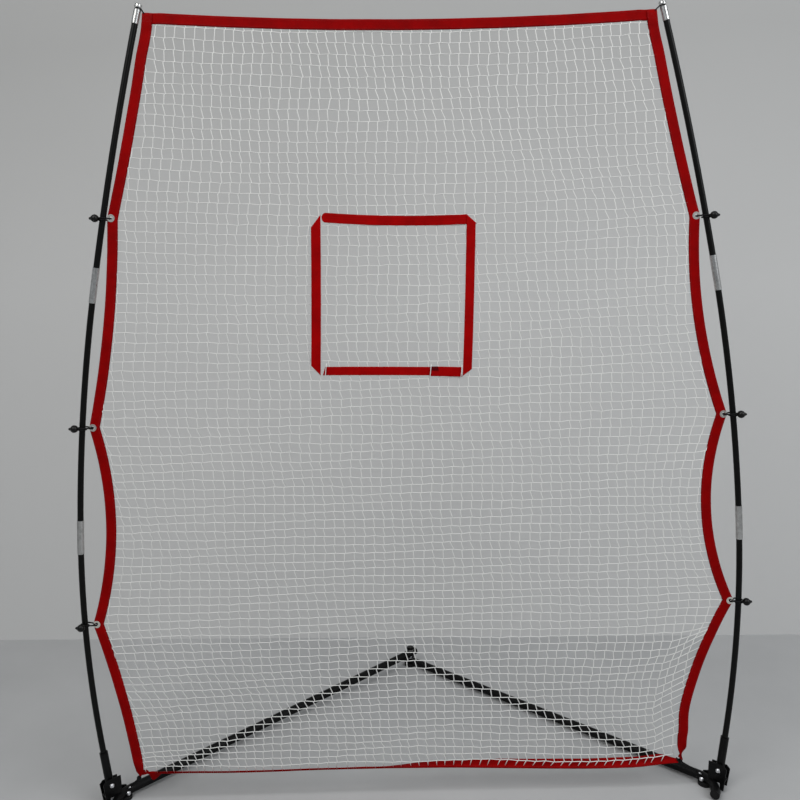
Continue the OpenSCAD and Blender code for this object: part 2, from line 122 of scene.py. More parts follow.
def ramp(t, fac, stops):
    n = t.nodes.new("ShaderNodeValToRGB")
    while len(n.color_ramp.elements) < len(stops):
        n.color_ramp.elements.new(0.5)
    for e, (p, c) in zip(n.color_ramp.elements, stops):
        e.position = p
        e.color = (*c, 1) if len(c) == 3 else c
    t.links.new(fac, n.inputs["Fac"])
    return n.outputs["Color"]


def math_node(t, op, a, b=None):
    n = t.nodes.new("ShaderNodeMath")
    n.operation = op
    for i, v in enumerate((a, b)):
        if v is None:
            continue
        if isinstance(v, (int, float)):
            n.inputs[i].default_value = v
        else:
            t.links.new(v, n.inputs[i])
    return n.outputs[0]


def mapping(t, source, scale=(1, 1, 1), turn=(0, 0, 0)):
    n = t.nodes.new("ShaderNodeMapping")
    n.inputs["Scale"].default_value = scale
    n.inputs["Rotation"].default_value = turn
    t.links.new(source, n.inputs["Vector"])
    return n.outputs[0]


def coords(t, kind="Object"):
    return t.nodes.new("ShaderNodeTexCoord").outputs[kind]


def bump(t, b, height, strength, distance, normal=None):
    n = t.nodes.new("ShaderNodeBump")
    n.inputs["Strength"].default_value = strength
    n.inputs["Distance"].default_value = distance
    t.links.new(height, n.inputs["Height"])
    if normal is not None:
        t.links.new(normal, n.inputs["Normal"])
    t.links.new(n.outputs[0], b.inputs["Normal"])
    return n.outputs[0]


def see_through_from_behind(t, b):
    """The wall is clear to a camera on its far side, so that the object is in view from every side."""
    path = t.nodes.new("ShaderNodeLightPath")
    surface = t.nodes.new("ShaderNodeNewGeometry")
    clear = t.nodes.new("ShaderNodeBsdfTransparent")
    mix = t.nodes.new("ShaderNodeMixShader")
    out = next(n for n in t.nodes if n.type == "OUTPUT_MATERIAL")
    t.links.new(
        math_node(t, "MULTIPLY", path.outputs["Is Camera Ray"], surface.outputs["Backfacing"]),
        mix.inputs[0]
    )
    t.links.new(b.outputs[0], mix.inputs[1])
    t.links.new(clear.outputs[0], mix.inputs[2])
    t.links.new(mix.outputs[0], out.inputs["Surface"])


def make_stage():
    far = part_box("hinge_pad")[1].y
    wall_y = far + 0.16
    skew = 0.035
    left_y, right_y = wall_y + 0.03 + 6 * skew, wall_y + 0.03 - 6 * skew
    verts = [(-6, -7, 0), (6, -7, 0), (6, right_y, 0), (-6, left_y, 0)]
    floor = bpy.data.meshes.new("floor")
    floor.from_pydata(verts, [], [(0, 1, 2, 3)])
    o = bpy.data.objects.new("floor", floor)
    bpy.context.scene.collection.objects.link(o)
    m, t, b = new_material("floor", (0.3, 0.305, 0.31), 0.45)
    c = mapping(t, coords(t), (1, 1, 1))
    tone = ramp(t, noise(t, 0.9, 5, 0.6, c), [(0.3, (0.37, 0.373, 0.375)), (0.7, (0.44, 0.443, 0.445))])
    t.links.new(tone, b.inputs["Base Color"])
    floor.materials.append(m)
    wall = bpy.data.meshes.new("backdrop")
    w = [(-6, left_y, 0), (6, right_y, 0), (6, right_y + 0.5, 5), (-6, left_y + 0.5, 5)]
    wall.from_pydata(w, [], [(0, 1, 2, 3)])
    o = bpy.data.objects.new("backdrop", wall)
    bpy.context.scene.collection.objects.link(o)
    m, t, b = new_material("backdrop", (0.4, 0.4, 0.395), 0.9)
    # The wall's colour is lighter low down and darker towards the top: painted shade of the light falling off
    # up the wall, under blotches of tone that differ at random.
    height = t.nodes.new("ShaderNodeSeparateXYZ")
    t.links.new(coords(t), height.inputs[0])
    blotch = math_node(t, "MULTIPLY", noise(t, 0.6, 4, 0.55, mapping(t, coords(t))), 0.10)
    level = math_node(t, "ADD", math_node(t, "DIVIDE", height.outputs["Z"], 3.0), blotch)
    tone = ramp(
        t, level,
        [
            (0.05, (0.55, 0.55, 0.545)), (0.50, (0.49, 0.49, 0.485)), (0.70, (0.41, 0.41, 0.405)),
            (0.84, (0.36, 0.36, 0.355))
        ]
    )
    t.links.new(tone, b.inputs["Base Color"])
    see_through_from_behind(t, b)
    wall.materials.append(m)
    world = bpy.data.worlds.new("world")
    bpy.context.scene.world = world
    world.use_nodes = True
    world.node_tree.nodes["Background"].inputs[0].default_value = (0.9, 0.95, 1, 1)
    world.node_tree.nodes["Background"].inputs[1].default_value = 0.33
    area_light("key", (-2.2, -3.2, 4.2), (0, PLANE_Y, 1.0), (2.6, 2.6), 92, (1, 0.985, 0.96))
    area_light("fill", (3.2, -2.6, 3.2), (0.1, PLANE_Y, 1.0), (2.4, 2.4), 74, (0.96, 0.98, 1))
    area_light("strip", (0.2, -1.6, 4.6), (0, wall_y, 0.6), (4.0, 0.7), 44)
    bpy.context.scene.view_settings.view_transform = "Standard"


# ---------------------------------------------------------------- materials
def black_steel():
    m, t, b = new_material("black_steel", (0.011, 0.011, 0.012), 0.4)
    c = coords(t)
    wear = ramp(
        t, noise(t, 35, 5, 0.65, c), [(0.35, (0.0018, 0.0018, 0.002)), (0.75, (0.004, 0.004, 0.0042))]
    )
    t.links.new(wear, b.inputs["Base Color"])
    t.links.new(
        ramp(t, noise(t, 60, 4, 0.6, c), [(0.3, (0.34,) * 3), (0.8, (0.52,) * 3)]), b.inputs["Roughness"]
    )
    bump(t, b, noise(t, 900, 3, 0.6, c), 0.25, 0.0003)
    b.inputs["Specular IOR Level"].default_value = 0.14
    return m


def black_fibreglass():
    m, t, b = new_material("black_fibreglass", (0.006, 0.006, 0.006), 0.33)
    c = mapping(t, coords(t), (900, 900, 6))
    streak = noise(t, 1.0, 4, 0.6, c)
    t.links.new(
        ramp(t, streak, [(0.3, (0.0014, 0.0014, 0.0013)), (0.75, (0.003, 0.003, 0.0028))]),
        b.inputs["Base Color"]
    )
    t.links.new(ramp(t, streak, [(0.2, (0.27,) * 3), (0.8, (0.42,) * 3)]), b.inputs["Roughness"])
    bump(t, b, streak, 0.18, 0.0002)
    b.inputs["Specular IOR Level"].default_value = 0.16
    return m


def bright_aluminium():
    m, t, b = new_material("bright_aluminium", (0.8, 0.8, 0.79), 0.28, 1.0)
    lines = noise(t, 1.0, 5, 0.7, mapping(t, coords(t), (700, 700, 12)))
    spots = noise(t, 90, 4, 0.6, coords(t))
    t.links.new(
        ramp(t, spots, [(0.3, (0.42, 0.42, 0.41)), (0.7, (0.62, 0.62, 0.61))]), b.inputs["Base Color"]
    )
    t.links.new(ramp(t, lines, [(0.2, (0.18,) * 3), (0.8, (0.4,) * 3)]), b.inputs["Roughness"])
    bump(t, b, lines, 0.3, 0.0002)
    return m


def zinc_steel():
    m, t, b = new_material("zinc_steel", (0.7, 0.71, 0.73), 0.3, 1.0)
    c = coords(t)
    t.links.new(
        ramp(t, noise(t, 240, 4, 0.6, c), [(0.3, (0.55, 0.56, 0.58)), (0.7, (0.78, 0.78, 0.8))]),
        b.inputs["Base Color"]
    )
    t.links.new(
        ramp(t, noise(t, 150, 3, 0.6, c), [(0.3, (0.22,) * 3), (0.8, (0.42,) * 3)]),
        b.inputs["Roughness"]
    )
    bump(t, b, noise(t, 700, 2, 0.5, c), 0.15, 0.0002)
    return m


def nickel_brass():
    m, t, b = new_material("nickel_brass", (0.83, 0.8, 0.74), 0.2, 1.0)
    c = coords(t)
    t.links.new(
        ramp(t, noise(t, 200, 3, 0.6, c), [(0.3, (0.72, 0.69, 0.62)), (0.7, (0.88, 0.86, 0.81))]),
        b.inputs["Base Color"]
    )
    t.links.new(
        ramp(t, noise(t, 320, 3, 0.6, c), [(0.3, (0.14,) * 3), (0.8, (0.32,) * 3)]),
        b.inputs["Roughness"]
    )
    bump(t, b, noise(t, 420, 2, 0.5, c), 0.12, 0.0002)
    return m


def webbing(name, dark, light, pitch=0.0021):
    """Flat-woven tape: yarn ribs across and along it, from the tape's own length and width coordinates."""
    m, t, b = new_material(name, light, 0.62)
    uv = coords(t, "UV")
    sep = t.nodes.new("ShaderNodeSeparateXYZ")
    t.links.new(uv, sep.inputs[0])
    k = 2 * math.pi / pitch
    across = math_node(t, "SINE", math_node(t, "MULTIPLY", sep.outputs["X"], k))
    along = math_node(t, "SINE", math_node(t, "MULTIPLY", sep.outputs["Y"], k * 1.35))
    weave = math_node(
        t, "ADD", math_node(t, "MULTIPLY", across, along), math_node(t, "MULTIPLY", along, 0.35)
    )
    height = math_node(t, "ADD", math_node(t, "MULTIPLY", weave, 0.35), 0.5)
    c = coords(t)
    fuzz = noise(t, 1600, 2, 0.6, c)
    patches = noise(t, 22, 4, 0.6, c)
    # Base colour: darker in the hollows of the weave as painted shade between the yarns, mixed with patches
    # of tone that differ at random.
    painted_shade_and_tone = math_node(t, "ADD", math_node(t, "MULTIPLY", height, 0.4), math_node(t, "MULTIPLY", patches, 0.6))
    t.links.new(ramp(t, painted_shade_and_tone, [(0.3, dark), (0.65, light)]), b.inputs["Base Color"])
    t.links.new(ramp(t, patches, [(0.2, (0.55,) * 3), (0.8, (0.72,) * 3)]), b.inputs["Roughness"])
    both = math_node(t, "ADD", height, math_node(t, "MULTIPLY", fuzz, 0.3))
    bump(t, b, both, 0.55, 0.0003)
    b.inputs["Specular IOR Level"].default_value = 0.03
    return m


def twine(name, dark, light, pitch, sheen=0.1, rough=0.7):
    """Braided or twisted cord: slanting strands from the cord's own length and girth coordinates."""
    m, t, b = new_material(name, light, rough)
    sep = t.nodes.new("ShaderNodeSeparateXYZ")
    t.links.new(coords(t, "UV"), sep.inputs[0])
    u = math_node(t, "MULTIPLY", sep.outputs["X"], 2 * math.pi / pitch)
    v = math_node(t, "MULTIPLY", sep.outputs["Y"], 4 * math.pi)
    one = math_node(t, "SINE", math_node(t, "ADD", u, v))
    two = math_node(t, "SINE", math_node(t, "SUBTRACT", u, v))
    braid = math_node(t, "ADD", math_node(t, "MULTIPLY", math_node(t, "MAXIMUM", one, two), 0.5), 0.5)
    patches = noise(t, 30, 4, 0.6, coords(t))
    # Base colour: darker in the grooves between the strands as painted shade, mixed with patches of tone that
    # differ at random.
    painted_shade_and_tone = math_node(
        t, "ADD", math_node(t, "MULTIPLY", braid, 0.55), math_node(t, "MULTIPLY", patches, 0.45)
    )
    t.links.new(ramp(t, painted_shade_and_tone, [(0.15, dark), (0.6, light)]), b.inputs["Base Color"])
    bump(t, b, braid, 0.6, 0.0004)
    b.inputs["Sheen Weight"].default_value = sheen
    b.inputs["Specular IOR Level"].default_value = 0.12
    return m


def moulded(name, colour, rough, grain=1200):
    m, t, b = new_material(name, colour, rough)
    c = coords(t)
    lift = tuple(x * 1.9 + 0.001 for x in colour)
    t.links.new(ramp(t, noise(t, 45, 4, 0.6, c), [(0.35, colour), (0.8, lift)]), b.inputs["Base Color"])
    t.links.new(
        ramp(t, noise(t, 80, 3, 0.6, c), [(0.3, (rough - 0.06,) * 3), (0.8, (min(rough + 0.1, 1),) * 3)]),
        b.inputs["Roughness"]
    )
    bump(t, b, noise(t, grain, 3, 0.6, c), 0.2, 0.0003)
    b.inputs["Specular IOR Level"].default_value = 0.22
    return m


MAT = {
    "black_steel": black_steel(),
    "black_fibreglass": black_fibreglass(),
    "bright_aluminium": bright_aluminium(),
    "zinc_steel": zinc_steel(),
    "nickel_brass": nickel_brass(),
    "red_webbing": webbing("red_webbing", (0.16, 0.0005, 0.0008), (0.275, 0.0009, 0.0013)),
    "target_webbing": webbing("target_webbing", (0.214, 0.0006, 0.0009), (0.358, 0.0010, 0.0014)),
    "hook_and_loop": webbing("hook_and_loop", (0.05, 0.001, 0.002), (0.11, 0.002, 0.004), 0.0015),
    "white_cord": twine("white_cord", (0.53, 0.53, 0.51), (0.77, 0.77, 0.75), 0.004, 0.0),
    "black_elastic": twine("black_elastic", (0.002, 0.002, 0.002), (0.007, 0.007, 0.0075), 0.003, 0.0),
    "ball_plastic": moulded("ball_plastic", (0.003, 0.003, 0.003), 0.3),
    "black_plastic": moulded("black_plastic", (0.003, 0.003, 0.003), 0.5),
    "pad_rubber": moulded("pad_rubber", (0.004, 0.004, 0.004), 0.75, 700),
}
THREAD = twine("thread", (0.12, 0.0015, 0.0025), (0.33, 0.006, 0.009), 0.0012)


def dress_cad():
    slots = {s["node"]: s["material_slot"] for s in frame["record"]["subparts"]}
    for name, o in frame["nodes"].items():
        m = MAT[slots[name]]
        o.data.materials.clear()
        o.data.materials.append(m)


# ---------------------------------------------------------------- mesh building
def add_mesh(name, verts, faces, uvs, material, smooth=True):
    me = bpy.data.meshes.new(name)
    me.from_pydata([tuple(v) for v in verts], [], faces)
    if uvs is not None:
        layer = me.uv_layers.new(name="UVMap")
        layer.data.foreach_set("uv", np.asarray(uvs, np.float32).ravel())
    me.materials.append(material)
    if smooth:
        me.polygons.foreach_set("use_smooth", [True] * len(me.polygons))
    me.validate()
    me.update()
    o = bpy.data.objects.new(name, me)
    bpy.context.scene.collection.objects.link(o)
    return o


class Soup:
    """Collects swept pieces into one mesh."""

    def __init__(self):
        self.v, self.f, self.uv, self.n = [], [], [], 0

    def sweep(self, path, a, b, sections, closed=False, caps=True):
        """A section (m, 2), one for all or one a station, along the path; a and b are its two directions."""
        path, a, b = (np.asarray(x, float) for x in (path, a, b))
        n = len(path)
        s = np.asarray(sections, float)
        if s.ndim == 2:
            s = np.repeat(s[None], n, 0)
        m = s.shape[1]
        v = path[:, None] + a[:, None] * s[:, :, :1] + b[:, None] * s[:, :, 1:]
        length = np.concatenate([[0], np.cumsum(np.linalg.norm(np.diff(path, axis=0), axis=1))])
        ring = np.concatenate([s[0], s[0][:1]])
        girth = np.concatenate([[0], np.cumsum(np.linalg.norm(np.diff(ring, axis=0), axis=1))])
        if girth[-1] > 0 and self.round_girth:
            girth = girth / girth[-1]
        self.v.append(v.reshape(-1, 3))
        base = self.n
        rows = n if closed else n - 1
        for i in range(rows):
            j = (i + 1) % n
            u0 = length[i]
            u1 = length[i + 1] if i + 1 < n else length[-1] + np.linalg.norm(path[0] - path[-1])
            for k in range(m):
                k2 = (k + 1) % m
                self.f.append((base + i * m + k, base + j * m + k, base + j * m + k2, base + i * m + k2))
                self.uv += [(u0, girth[k]), (u1, girth[k]), (u1, girth[k + 1]), (u0, girth[k + 1])]
        if caps and not closed:
            for row, order in ((0, range(m)), (n - 1, range(m - 1, -1, -1))):
                self.f.append(tuple(base + row * m + k for k in order))
                self.uv += [(float(s[row][k][0]), float(s[row][k][1])) for k in order]
        self.n += n * m

    round_girth = False

    def build(self, name, material, slot):
        o = add_mesh(name, np.concatenate(self.v), self.f, self.uv, material)
        return o


class Cords(Soup):
    round_girth = True

    def tube(self, path, radius, sides=8, closed=False, caps=True):
        path = np.asarray(path, float)
        n = len(path)
        if closed:
            t = np.roll(path, -1, 0) - np.roll(path, 1, 0)
        else:
            t = np.gradient(path, axis=0)
        t /= np.linalg.norm(t, axis=1)[:, None] + 1e-12
        ref = np.array([0, 1, 0.0]) if abs(t[0][1]) < 0.9 else np.array([1, 0, 0.0])
        a = np.zeros_like(path)
        prev = ref
        for i in range(n):
            x = prev - t[i] * np.dot(prev, t[i])
            x /= np.linalg.norm(x) + 1e-12
            a[i] = x
            prev = x
        b = np.cross(t, a)
        if closed:
            x = a[-1] - t[0] * np.dot(a[-1], t[0])
            x /= np.linalg.norm(x)
            twist = math.atan2(np.dot(x, b[0]), np.dot(x, a[0]))
            ang = -twist * np.arange(n) / n
            a, b = (
                a * np.cos(ang)[:, None] + b * np.sin(ang)[:, None],
                b * np.cos(ang)[:, None] - a * np.sin(ang)[:, None]
            )
        ang = np.linspace(0, 2 * math.pi, sides, endpoint=False)
        r = np.broadcast_to(np.asarray(radius, float), (n,))
        s = np.stack([np.cos(ang), np.sin(ang)], 1)[None] * r[:, None, None]
        self.sweep(path, a, b, s, closed, caps)


def smooth_path(points, step, closed=False):
    """A Catmull-Rom line through the points, with about that spacing."""
    p = np.asarray(points, float)
    n = len(p)
    out = []
    spans = n if closed else n - 1
    for i in range(spans):
        p0 = p[(i - 1) % n] if closed or i > 0 else 2 * p[0] - p[1]
        p1, p2 = p[i], p[(i + 1) % n]
        p3 = p[(i + 2) % n] if closed or i + 2 < n else 2 * p[-1] - p[-2]
        k = max(2, int(math.ceil(np.linalg.norm(p2 - p1) / step)))
        for u in np.arange(k) / k:
            out.append(
                0.5 * (
                    2 * p1 + (p2 - p0) * u
                    + (2 * p0 - 5 * p1 + 4 * p2 - p3) * u * u
                    + (3 * p1 - p0 - 3 * p2 + p3) * u**3
                )
            )
    if not closed:
        out.append(p[-1])
    return np.array(out)


def smoothstep(x, lo, hi):
    t = np.clip((np.asarray(x, float) - lo) / (hi - lo), 0, 1)
    return t * t * (3 - 2 * t)


def around(n):
    """Even angles round a circle, n of them."""
    return np.linspace(0, 2 * math.pi, n + 1)[:-1]


def wave(x, seed, wavelength):
    """A smooth wandering line of about unit size, the same each run."""
    g = np.random.default_rng(seed)
    ks = 2 * math.pi / wavelength * g.uniform(0.5, 1.6, 5)
    ph = g.uniform(0, 2 * math.pi, 5)
    x = np.asarray(x, float)
    return sum(np.sin(x * k + p) for k, p in zip(ks, ph)) / 3


# ---------------------------------------------------------------- net outline, from the CAD nodes
TAPE_W = 0.027
TAPE_T = 0.0011
GAP = 0.0008
SAGS = {LEFT: mm(5, 14, 40, 10), RIGHT: mm(6, 26, 52, 28)}


def node_points(name):
    return np.array([v.co for v in frame["nodes"][name].data.vertices], float)


def spans_by_z(name):
    """Lowest and highest corners of the three like solids of a node, from top to bottom."""
    p = node_points(name)
    z = np.sort(p[:, 2])
    cuts = [z[0] - 1] + [(a + b) / 2 for a, b in zip(z[:-1], z[1:]) if b - a > 0.1] + [z[-1] + 1]
    out = [p[(p[:, 2] > lo) & (p[:, 2] < hi)] for lo, hi in zip(cuts[:-1], cuts[1:])]
    return [(q.min(0), q.max(0)) for q in out][::-1]


def clusters_by_z(name):
    """Their centres."""
    return [(lo + hi) / 2 for lo, hi in spans_by_z(name)]


def knots(side):
    """The corners and grommet bulges of one side of the net, from top to bottom, as X, Z."""
    b = node_points(NAMES[side] + "_border")
    ends = []
    for z in (b[:, 2].max(), b[:, 2].min()):
        x = b[abs(b[:, 2] - z) < 0.002][:, 0]
        ends.append([x.min() if side == LEFT else x.max(), z])
    mid = [[g[0] + side * 0.010, g[2]] for g in clusters_by_z(NAMES[side] + "_grommets")]
    return np.array([ends[0]] + mid + [ends[1]])


KNOTS = {s: knots(s) for s in (LEFT, RIGHT)}
GROMMETS = {s: clusters_by_z(NAMES[s] + "_grommets") for s in (LEFT, RIGHT)}


def outer_x(side, z):
    """The outer edge of a side border at a height, with the dips between the grommets."""
    k, z = KNOTS[side], np.asarray(z, float)
    zs = np.linspace(k[-1][1] - 0.05, k[0][1] + 0.05, 1200)
    x = np.zeros_like(zs)
    for i in range(4):
        (x0, z0), (x1, z1) = k[i], k[i + 1]
        on = (zs <= z0 + (1 if i == 0 else 0)) & (zs > z1 - (1 if i == 3 else 0))
        u = (z0 - zs[on]) / (z0 - z1)
        dip = np.where((u > 0) & (u < 1), 4 * u * (1 - u), 0)
        x[on] = x0 + (x1 - x0) * u - side * SAGS[side][i] * dip
    upright = smoothstep(zs, k[0][1] - 0.110, k[0][1] - 0.010)
    x = x + (k[0][0] - x) * upright * 0.45
    if side == RIGHT:
        x = x + 0.010 * np.exp(-(((zs - k[4][1] - 0.075) / 0.045) ** 2))
    w = np.ones(13) / 13
    pad = np.concatenate([np.full(6, x[0]), x, np.full(6, x[-1])])
    return np.interp(z, zs, np.convolve(pad, w, "valid"))


def inner_x(side, z):
    return outer_x(side, z) - side * TAPE_W


TOP_SAG = 0.022


def top_z(x):
    """The upper edge of the top border."""
    (xl, zl), (xr, zr) = KNOTS[LEFT][0], KNOTS[RIGHT][0]
    u = (np.asarray(x, float) - xl) / (xr - xl)
    return zl + (zr - zl) * u - TOP_SAG * 4 * u * (1 - u)


def bottom_z(x):
    """The line where the mesh meets the bottom border."""
    xr = KNOTS[RIGHT][4][0]
    x = np.asarray(x, float)
    return (
        0.0855 + 0.0015 * wave(x, 3, 0.5) - 0.013 * smoothstep(x, 0.05, 0.55)
        + 0.010 * smoothstep(x, 0.6, xr)
    )


def folded_section(width, gap, layer=TAPE_T, n=9):
    """The outline of tape folded in half along its length: fold at +width / 2, open at -width / 2."""
    h, r = width / 2, gap + layer
    a = np.linspace(-h, h - r, n)
    ribs = 0.00012 * np.sin(np.linspace(0, 9 * math.pi, n))
    turn = np.linspace(-math.pi / 2, math.pi / 2, 7)[1:-1]
    front = [(x, -r - e) for x, e in zip(a, ribs)]
    fold = [(h - r + r * math.cos(q), r * math.sin(q)) for q in turn]
    back = [(x, r + e) for x, e in zip(a[::-1], ribs[::-1])]
    inside_b = [(x, gap) for x in np.linspace(-h, h - r, 4)]
    inside_f = [(x, -gap) for x in np.linspace(h - r, -h, 4)]
    return np.array(front + fold + back + inside_b + inside_f)


def flat_section(width, thick):
    h, r = width / 2, thick / 2
    a = np.linspace(-h + r, h - r, 8)
    ribs = 0.00012 * np.sin(np.linspace(0, 7 * math.pi, 8))
    ends = np.linspace(-math.pi / 2, math.pi / 2, 5)[1:-1]
    pts = [(x, -r - e) for x, e in zip(a, ribs)]
    pts += [(h - r + r * math.cos(q), r * math.sin(q)) for q in ends]
    pts += [(x, r + e) for x, e in zip(a[::-1], ribs[::-1])]
    pts += [(-h + r - r * math.cos(q), -r * math.sin(q)) for q in ends]
    return np.array(pts)


def stitches(soup, path, a, b, offsets, heights, step=0.0052, long=0.0036, r=0.00028):
    """Short thread stitches in rows along a tape, on both faces."""
    length = np.concatenate([[0], np.cumsum(np.linalg.norm(np.diff(path, axis=0), axis=1))])
    for off in offsets:
        for s in np.arange(step, length[-1] - step, step):
            p, aa, bb = (np.array([np.interp(s, length, q[:, i]) for i in range(3)]) for q in (path, a, b))
            p2 = np.array([np.interp(s + long, length, path[:, i]) for i in range(3)])
            h = float(np.interp(s, length, heights))
            t = (p2 - p) / np.linalg.norm(p2 - p)
            for face in (-1, 1):
                base = p + aa * off + bb * face * h
                pts = [
                    base - bb * face * r * 0.6, base + t * long * 0.25 + bb * face * r,
                    base + t * long * 0.75 + bb * face * r, base + t * long - bb * face * r * 0.6
                ]
                soup.tube(pts, r, 4)


# ---------------------------------------------------------------- side borders
def side_border(side):
    k = KNOTS[side]
    top, low = k[0][1] - 0.0030, k[-1][1]
    zs = np.concatenate([np.linspace(top, low + 0.12, 330), np.linspace(low + 0.12, low, 60)[1:]])
    edge = np.stack([outer_x(side, zs), np.full_like(zs, PLANE_Y), zs], 1)
    t = np.gradient(edge, axis=0)
    t /= np.linalg.norm(t, axis=1)[:, None]
    flat = np.cross(t, [0, 1, 0]) * -side
    flat *= np.sign(flat[:, :1]) * side
    out_y = np.array([0, 1.0, 0])
    if side == LEFT:
        turn = np.radians(25) * smoothstep(-zs, -(low + 0.050), -(low + 0.005))
        narrow = (
            1 - 0.06 * smoothstep(-zs, -(low + 0.060), -(low + 0.014))
            - 0.78 * smoothstep(-zs, -(low + 0.014), -low)
        )
    else:
        turn = np.radians(165) * smoothstep(-zs, -(low + 0.045), -(low - 0.028))
        narrow = 1 - 0.40 * smoothstep(-zs, -(low + 0.03), -low)
    a = flat * np.cos(turn)[:, None] + out_y * np.sin(turn)[:, None]
    b = np.cross(t, a)
    b *= np.sign(b[:, 1:2] + 1e-9) if side == LEFT else 1
    mid = edge - flat * TAPE_W / 2
    if side == RIGHT:
        mid[:, 0] += 0.010 * smoothstep(-zs, -(low + 0.070), -(low + 0.015))
    mid[:, 1] += 0.0004 * wave(zs, 20 + side, 0.16) * smoothstep(-zs, -(top - 0.02), -(top - 0.12))
    gap = GAP + 0.0015 * smoothstep(zs, top - 0.040, top - 0.028)
    s = np.stack([folded_section(TAPE_W, g) for g in gap])
    s[:, :, 0] *= narrow[:, None]
    soup = Soup()
    soup.sweep(mid, a, b, s)
    name = NAMES[side]
    o = soup.build(name + "_side_webbing", MAT["red_webbing"], "red_webbing")
    punch(o, [g for g in GROMMETS[side]], 0.0060)
    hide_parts(name + "_border")
    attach(o, name + "_side")
    thread = Cords()
    keep = zs > low + 0.03
    stitches(thread, mid[keep], a[keep], b[keep], (-0.0100, 0.0095), (gap + TAPE_T)[keep])
    x_out = KNOTS[side][0][0]
    x0 = min(x_out, x_out - side * TAPE_W)
    cross_stitch(thread, x0 + 0.003, x0 + TAPE_W - 0.003, GAP + 0.0015 + TAPE_T)
    st = thread.build(name + "_side_stitching", THREAD, "red_webbing")
    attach(st, name + "_side")
    return mid


def punch(o, places, r):
    """Round holes through the tape at the grommets."""
    ring = [(r * math.cos(q), r * math.sin(q)) for q in around(24)]
    v, f = [], []
    for g in places:
        n = len(v)
        v += [(g[0] + a, PLANE_Y + y, g[2] + b) for y in (-0.01, 0.01) for a, b in ring]
        m = len(ring)
        f += [tuple(range(n, n + m)), tuple(range(n + 2 * m - 1, n + m - 1, -1))]
        f += [(n + (i + 1) % m, n + i, n + m + i, n + m + (i + 1) % m) for i in range(m)]
    me = bpy.data.meshes.new("punch")
    me.from_pydata(v, [], f)
    tool = bpy.data.objects.new("punch", me)
    bpy.context.scene.collection.objects.link(tool)
    mod = o.modifiers.new("punch", "BOOLEAN")
    mod.operation, mod.object, mod.solver = "DIFFERENCE", tool, "EXACT"
    cut = bpy.data.meshes.new_from_object(o.evaluated_get(bpy.context.evaluated_depsgraph_get()))
    o.modifiers.clear()
    o.data = cut
    bpy.data.objects.remove(tool)


def follow(o):
    """Cloth that spans the fold: its placement is baked into its mesh, and it goes with neither side.

    Folded, the net's strands still run through the left strap of the strike zone.
    """
    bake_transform(o)


def top_border():
    xl, xr = KNOTS[LEFT][0][0], KNOTS[RIGHT][0][0]
    xs = np.linspace(xl + 0.0015, xr - 0.0015, 260)
    edge = np.stack([xs, np.full_like(xs, PLANE_Y), top_z(xs)], 1)
    t = np.gradient(edge, axis=0)
    t /= np.linalg.norm(t, axis=1)[:, None]
    a = np.cross(np.array([0, -1.0, 0]), t)
    a *= np.sign(a[:, 2:3])
    b = np.cross(a, t)
    b *= np.sign(b[:, 1:2])
    corner = np.maximum(smoothstep(-xs, -(xl + 0.045), -(xl + 0.030)), smoothstep(xs, xr - 0.045, xr - 0.030))
    gap = np.full(len(xs), GAP - 0.0003)
    mid = edge - a * TAPE_W / 2
    mid[:, 1] += 0.0005 * wave(xs, 5, 0.2) * (1 - corner)
    mid[:, 2] -= 0.0012 * corner
    s = np.stack([folded_section(TAPE_W, g) for g in gap])
    soup = Soup()
    soup.sweep(mid, a, b, s)
    o = soup.build("top_webbing", MAT["red_webbing"], "red_webbing")
    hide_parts("top_border")
    thread = Cords()
    keep = (xs > xl + TAPE_W + 0.002) & (xs < xr - TAPE_W - 0.002)
    stitches(thread, mid[keep], a[keep], b[keep], (-0.0100, 0.0085), (gap + TAPE_T)[keep])
    st = thread.build("top_stitching", THREAD, "red_webbing")
    follow(o)
    follow(st)


def cross_stitch(thread, x0, x1, h):
    """A boxed X of stitches through both tapes at a corner."""
    za, zb = float(top_z((x0 + x1) / 2)) - TAPE_W + 0.003, float(top_z((x0 + x1) / 2)) - 0.005
    c = [np.array([x0, za]), np.array([x1, za]), np.array([x1, zb]), np.array([x0, zb])]
    for p, q in ((c[0], c[1]), (c[1], c[2]), (c[2], c[3]), (c[3], c[0]), (c[0], c[2]), (c[1], c[3])):
        n = max(3, int(np.linalg.norm(q - p) / 0.0045))
        for i in range(n):
            s, e = p + (q - p) * (i + 0.1) / n, p + (q - p) * (i + 0.85) / n
            for face in (-1, 1):
                y = PLANE_Y + face * h
                f = 0.0003 * face
                thread.tube(
                    [(s[0], y - f, s[1]), ((s[0] + e[0]) / 2, y + f, (s[1] + e[1]) / 2), (e[0], y - f, e[1])],
                    0.0003, 4
                )


def bottom_roll(x):
    """How far the bottom tape is swung back and up from hanging straight, in degrees."""
    xl = KNOTS[LEFT][4][0]
    base = (
        56 + 26 * smoothstep(x, -0.12, 0.02) + 34 * smoothstep(x, 0.0, 0.30)
        + 18 * smoothstep(x, 0.35, 0.62)
    )
    crumple = 55 * np.sin((np.asarray(x) - xl) * 95) * (1 - smoothstep(x, xl + 0.035, xl + 0.085))
    return np.radians(base + crumple + 4 * wave(x, 9, 0.25))


